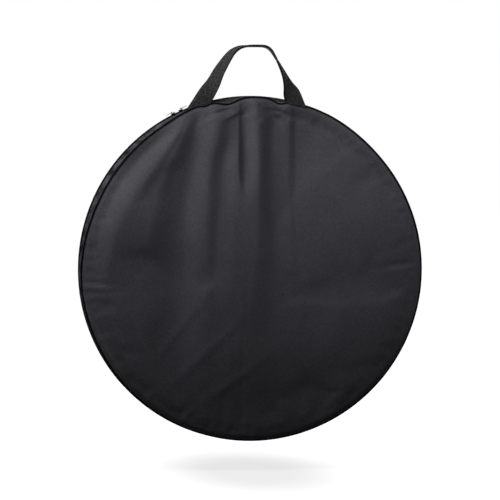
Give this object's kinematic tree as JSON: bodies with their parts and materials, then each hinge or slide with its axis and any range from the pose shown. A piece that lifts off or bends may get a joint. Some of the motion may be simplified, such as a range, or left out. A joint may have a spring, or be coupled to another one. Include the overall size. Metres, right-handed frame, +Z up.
{
  "type": "bike wheel bag",
  "caption": "Round padded bicycle wheel bag of black cloth with a zipped upper wall, piped seams and webbing carry handles; its front folds down to take the wheel.",
  "frame": {"origin": "middle of the flat underside of the rear handle's grip, under the front one, where a hand or hook carries the bag", "axes": "-Y out of the front panel, +X to the right seen from the front, +Z up as the bag hangs"},
  "size_m": [0.6997, 0.0726, 0.807],
  "materials": {
    "shell_cloth": "charcoal coated polyester weave",
    "foam": "closed cell foam sheet",
    "lining": "thin black lining cloth",
    "guard": "stiff black sheet",
    "piping": "black covered cord",
    "zip_tape": "woven black zip tape",
    "zip_coil": "black nylon coil",
    "webbing": "dark twill webbing",
    "slider_metal": "black enamelled zinc"
  },
  "bodies": {
    "bag": {"rear_shell": "shell_cloth", "rear_foam": "foam", "rear_lining": "lining", "rear_piping": "piping", "rear_hub_guard": "guard", "rear_wall_strip": "shell_cloth", "rear_zip_tape": "zip_tape", "rear_zip_coil": "zip_coil", "rear_handle_end_left": "webbing", "rear_handle_end_right": "webbing", "lower_wall_strip": "shell_cloth", "zip_end_tab_left": "shell_cloth", "zip_end_tab_right": "shell_cloth", "front_base_shell": "shell_cloth", "front_base_foam": "foam", "front_base_lining": "lining", "front_base_piping": "piping"},
    "front_flap": {"front_flap_shell": "shell_cloth", "front_flap_foam": "foam", "front_flap_lining": "lining", "front_flap_piping": "piping", "front_hub_guard": "guard", "front_wall_strip": "shell_cloth", "front_zip_tape": "zip_tape", "front_zip_coil": "zip_coil", "front_handle_end_left": "webbing", "front_handle_end_right": "webbing"},
    "front_handle": {"front_handle": "webbing"},
    "rear_handle": {"rear_handle": "webbing"},
    "left_slider": {"left_slider": "slider_metal"},
    "left_pull": {"left_pull": "slider_metal"},
    "right_slider": {"right_slider": "slider_metal"},
    "right_pull": {"right_pull": "slider_metal"}
  },
  "joints": [
    {"name": "front_flap_open", "type": "hinge", "parent": "bag", "child": "front_flap", "pos_m": [-0.01395, -0.0345, -0.5449], "axis": [1, 0, 0], "range_deg": [0, 150]},
    {"name": "front_handle_swing", "type": "hinge", "parent": "front_flap", "child": "front_handle", "pos_m": [-0.01395, -0.0154, -0.1019], "axis": [1, 0, 0], "range_deg": [0, 150]},
    {"name": "rear_handle_swing", "type": "hinge", "parent": "bag", "child": "rear_handle", "pos_m": [-0.01395, 0.0154, -0.1019], "axis": [1, 0, 0], "range_deg": [-150, 0]},
    {"name": "left_slider_run", "type": "hinge", "parent": "bag", "child": "left_slider", "pos_m": [-0.01395, 0, -0.4479], "axis": [0, -1, 0], "range_deg": [0, 76.5]},
    {"name": "right_slider_run", "type": "hinge", "parent": "bag", "child": "right_slider", "pos_m": [-0.01395, 0, -0.4479], "axis": [0, 1, 0], "range_deg": [0, 126.5]},
    {"name": "left_pull_flip", "type": "hinge", "parent": "left_slider", "child": "left_pull", "pos_m": [-0.17323, 0, -0.13249], "axis": [0, 1, 0], "range_deg": [0, 120]},
    {"name": "right_pull_flip", "type": "hinge", "parent": "right_slider", "child": "right_pull", "pos_m": [-0.15544, 0, -0.12412], "axis": [0, -1, 0], "range_deg": [0, 120]}
  ]
}
